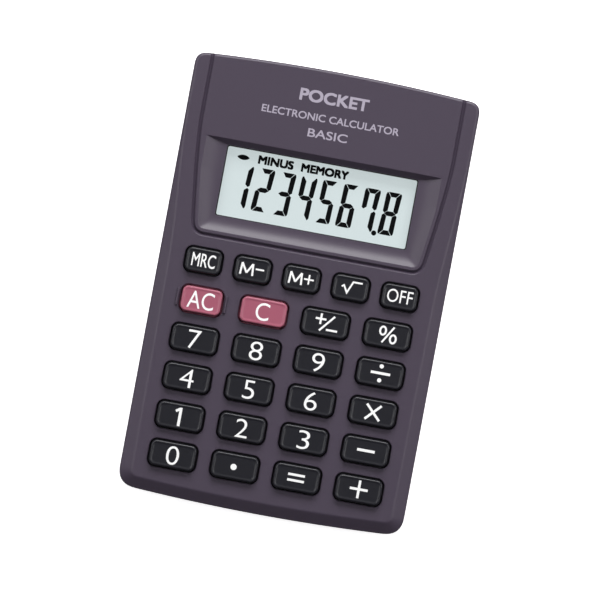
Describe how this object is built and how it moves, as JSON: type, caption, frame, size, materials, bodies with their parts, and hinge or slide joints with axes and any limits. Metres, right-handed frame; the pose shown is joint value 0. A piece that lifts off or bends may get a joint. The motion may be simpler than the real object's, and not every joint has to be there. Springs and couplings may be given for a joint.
{
  "type": "pocket calculator",
  "caption": "Slim moulded pocket calculator: sunken liquid-crystal display above travelling legend keys, button-cell bay under a screwed back cover.",
  "frame": {"origin": "centre of the calculator's outline on the plane of its back", "axes": "+Y toward the display end, +Z out of the front face, +X to the reader's right"},
  "size_m": [0.056, 0.087, 0.0086],
  "materials": {
    "case_plastic": "fine moulded texture",
    "key_plastic": "satin moulded",
    "red_key_plastic": "satin moulded",
    "clear_plastic": "polished",
    "display_film": "matt",
    "display_glass": "polished",
    "silicone_rubber": "matt",
    "board_laminate": "satin lacquer",
    "resin": "gloss",
    "ceramic": "matt",
    "steel": "nickel plated"
  },
  "bodies": {
    "case": {"upper_case": "case_plastic", "lower_case": "case_plastic", "display_window": "clear_plastic", "lcd_front_polarizer": "display_film", "lcd_upper_glass": "display_glass", "lcd_lower_glass": "display_glass", "lcd_rear_reflector": "display_film", "zebra_connector": "silicone_rubber", "keypad_membrane": "silicone_rubber", "circuit_board": "board_laminate", "chip_blob": "resin", "capacitor": "ceramic", "resistor": "resin", "battery": "steel", "contact_positive": "steel", "contact_negative": "steel", "case_screw_1": "steel", "board_screw_1": "steel", "case_screw_2": "steel", "board_screw_2": "steel", "case_screw_3": "steel", "board_screw_3": "steel", "case_screw_4": "steel", "board_screw_4": "steel"},
    "key_mrc_body": {"key_mrc": "key_plastic"},
    "key_m_minus_body": {"key_m_minus": "key_plastic"},
    "key_m_plus_body": {"key_m_plus": "key_plastic"},
    "key_sqrt_body": {"key_sqrt": "key_plastic"},
    "key_off_body": {"key_off": "key_plastic"},
    "key_ac_body": {"key_ac": "red_key_plastic"},
    "key_c_body": {"key_c": "red_key_plastic"},
    "key_sign_body": {"key_sign": "key_plastic"},
    "key_percent_body": {"key_percent": "key_plastic"},
    "key_7_body": {"key_7": "key_plastic"},
    "key_8_body": {"key_8": "key_plastic"},
    "key_9_body": {"key_9": "key_plastic"},
    "key_divide_body": {"key_divide": "key_plastic"},
    "key_4_body": {"key_4": "key_plastic"},
    "key_5_body": {"key_5": "key_plastic"},
    "key_6_body": {"key_6": "key_plastic"},
    "key_multiply_body": {"key_multiply": "key_plastic"},
    "key_1_body": {"key_1": "key_plastic"},
    "key_2_body": {"key_2": "key_plastic"},
    "key_3_body": {"key_3": "key_plastic"},
    "key_minus_body": {"key_minus": "key_plastic"},
    "key_0_body": {"key_0": "key_plastic"},
    "key_point_body": {"key_point": "key_plastic"},
    "key_equals_body": {"key_equals": "key_plastic"},
    "key_plus_body": {"key_plus": "key_plastic"},
    "battery_cover_body": {"battery_cover": "case_plastic", "battery_cover_screw": "steel"}
  },
  "joints": [
    {"name": "key_mrc_press", "type": "slide", "parent": "case", "child": "key_mrc_body", "axis": [0, 0, -1], "range_m": [0, 0.0009], "stiffness_N_per_m": 600, "springref_m": -0.0002, "deforming": ["keypad_membrane"]},
    {"name": "key_m_minus_press", "type": "slide", "parent": "case", "child": "key_m_minus_body", "axis": [0, 0, -1], "range_m": [0, 0.0009], "stiffness_N_per_m": 600, "springref_m": -0.0002, "deforming": ["keypad_membrane"]},
    {"name": "key_m_plus_press", "type": "slide", "parent": "case", "child": "key_m_plus_body", "axis": [0, 0, -1], "range_m": [0, 0.0009], "stiffness_N_per_m": 600, "springref_m": -0.0002, "deforming": ["keypad_membrane"]},
    {"name": "key_sqrt_press", "type": "slide", "parent": "case", "child": "key_sqrt_body", "axis": [0, 0, -1], "range_m": [0, 0.0009], "stiffness_N_per_m": 600, "springref_m": -0.0002, "deforming": ["keypad_membrane"]},
    {"name": "key_off_press", "type": "slide", "parent": "case", "child": "key_off_body", "axis": [0, 0, -1], "range_m": [0, 0.0009], "stiffness_N_per_m": 600, "springref_m": -0.0002, "deforming": ["keypad_membrane"]},
    {"name": "key_ac_press", "type": "slide", "parent": "case", "child": "key_ac_body", "axis": [0, 0, -1], "range_m": [0, 0.0009], "stiffness_N_per_m": 600, "springref_m": -0.0002, "deforming": ["keypad_membrane"]},
    {"name": "key_c_press", "type": "slide", "parent": "case", "child": "key_c_body", "axis": [0, 0, -1], "range_m": [0, 0.0009], "stiffness_N_per_m": 600, "springref_m": -0.0002, "deforming": ["keypad_membrane"]},
    {"name": "key_sign_press", "type": "slide", "parent": "case", "child": "key_sign_body", "axis": [0, 0, -1], "range_m": [0, 0.0009], "stiffness_N_per_m": 600, "springref_m": -0.0002, "deforming": ["keypad_membrane"]},
    {"name": "key_percent_press", "type": "slide", "parent": "case", "child": "key_percent_body", "axis": [0, 0, -1], "range_m": [0, 0.0009], "stiffness_N_per_m": 600, "springref_m": -0.0002, "deforming": ["keypad_membrane"]},
    {"name": "key_7_press", "type": "slide", "parent": "case", "child": "key_7_body", "axis": [0, 0, -1], "range_m": [0, 0.0009], "stiffness_N_per_m": 600, "springref_m": -0.0002, "deforming": ["keypad_membrane"]},
    {"name": "key_8_press", "type": "slide", "parent": "case", "child": "key_8_body", "axis": [0, 0, -1], "range_m": [0, 0.0009], "stiffness_N_per_m": 600, "springref_m": -0.0002, "deforming": ["keypad_membrane"]},
    {"name": "key_9_press", "type": "slide", "parent": "case", "child": "key_9_body", "axis": [0, 0, -1], "range_m": [0, 0.0009], "stiffness_N_per_m": 600, "springref_m": -0.0002, "deforming": ["keypad_membrane"]},
    {"name": "key_divide_press", "type": "slide", "parent": "case", "child": "key_divide_body", "axis": [0, 0, -1], "range_m": [0, 0.0009], "stiffness_N_per_m": 600, "springref_m": -0.0002, "deforming": ["keypad_membrane"]},
    {"name": "key_4_press", "type": "slide", "parent": "case", "child": "key_4_body", "axis": [0, 0, -1], "range_m": [0, 0.0009], "stiffness_N_per_m": 600, "springref_m": -0.0002, "deforming": ["keypad_membrane"]},
    {"name": "key_5_press", "type": "slide", "parent": "case", "child": "key_5_body", "axis": [0, 0, -1], "range_m": [0, 0.0009], "stiffness_N_per_m": 600, "springref_m": -0.0002, "deforming": ["keypad_membrane"]},
    {"name": "key_6_press", "type": "slide", "parent": "case", "child": "key_6_body", "axis": [0, 0, -1], "range_m": [0, 0.0009], "stiffness_N_per_m": 600, "springref_m": -0.0002, "deforming": ["keypad_membrane"]},
    {"name": "key_multiply_press", "type": "slide", "parent": "case", "child": "key_multiply_body", "axis": [0, 0, -1], "range_m": [0, 0.0009], "stiffness_N_per_m": 600, "springref_m": -0.0002, "deforming": ["keypad_membrane"]},
    {"name": "key_1_press", "type": "slide", "parent": "case", "child": "key_1_body", "axis": [0, 0, -1], "range_m": [0, 0.0009], "stiffness_N_per_m": 600, "springref_m": -0.0002, "deforming": ["keypad_membrane"]},
    {"name": "key_2_press", "type": "slide", "parent": "case", "child": "key_2_body", "axis": [0, 0, -1], "range_m": [0, 0.0009], "stiffness_N_per_m": 600, "springref_m": -0.0002, "deforming": ["keypad_membrane"]},
    {"name": "key_3_press", "type": "slide", "parent": "case", "child": "key_3_body", "axis": [0, 0, -1], "range_m": [0, 0.0009], "stiffness_N_per_m": 600, "springref_m": -0.0002, "deforming": ["keypad_membrane"]},
    {"name": "key_minus_press", "type": "slide", "parent": "case", "child": "key_minus_body", "axis": [0, 0, -1], "range_m": [0, 0.0009], "stiffness_N_per_m": 600, "springref_m": -0.0002, "deforming": ["keypad_membrane"]},
    {"name": "key_0_press", "type": "slide", "parent": "case", "child": "key_0_body", "axis": [0, 0, -1], "range_m": [0, 0.0009], "stiffness_N_per_m": 600, "springref_m": -0.0002, "deforming": ["keypad_membrane"]},
    {"name": "key_point_press", "type": "slide", "parent": "case", "child": "key_point_body", "axis": [0, 0, -1], "range_m": [0, 0.0009], "stiffness_N_per_m": 600, "springref_m": -0.0002, "deforming": ["keypad_membrane"]},
    {"name": "key_equals_press", "type": "slide", "parent": "case", "child": "key_equals_body", "axis": [0, 0, -1], "range_m": [0, 0.0009], "stiffness_N_per_m": 600, "springref_m": -0.0002, "deforming": ["keypad_membrane"]},
    {"name": "key_plus_press", "type": "slide", "parent": "case", "child": "key_plus_body", "axis": [0, 0, -1], "range_m": [0, 0.0009], "stiffness_N_per_m": 600, "springref_m": -0.0002, "deforming": ["keypad_membrane"]},
    {"name": "battery_cover_lift", "type": "slide", "parent": "case", "child": "battery_cover_body", "axis": [0, 0, -1], "range_m": [0, 0.008]}
  ]
}
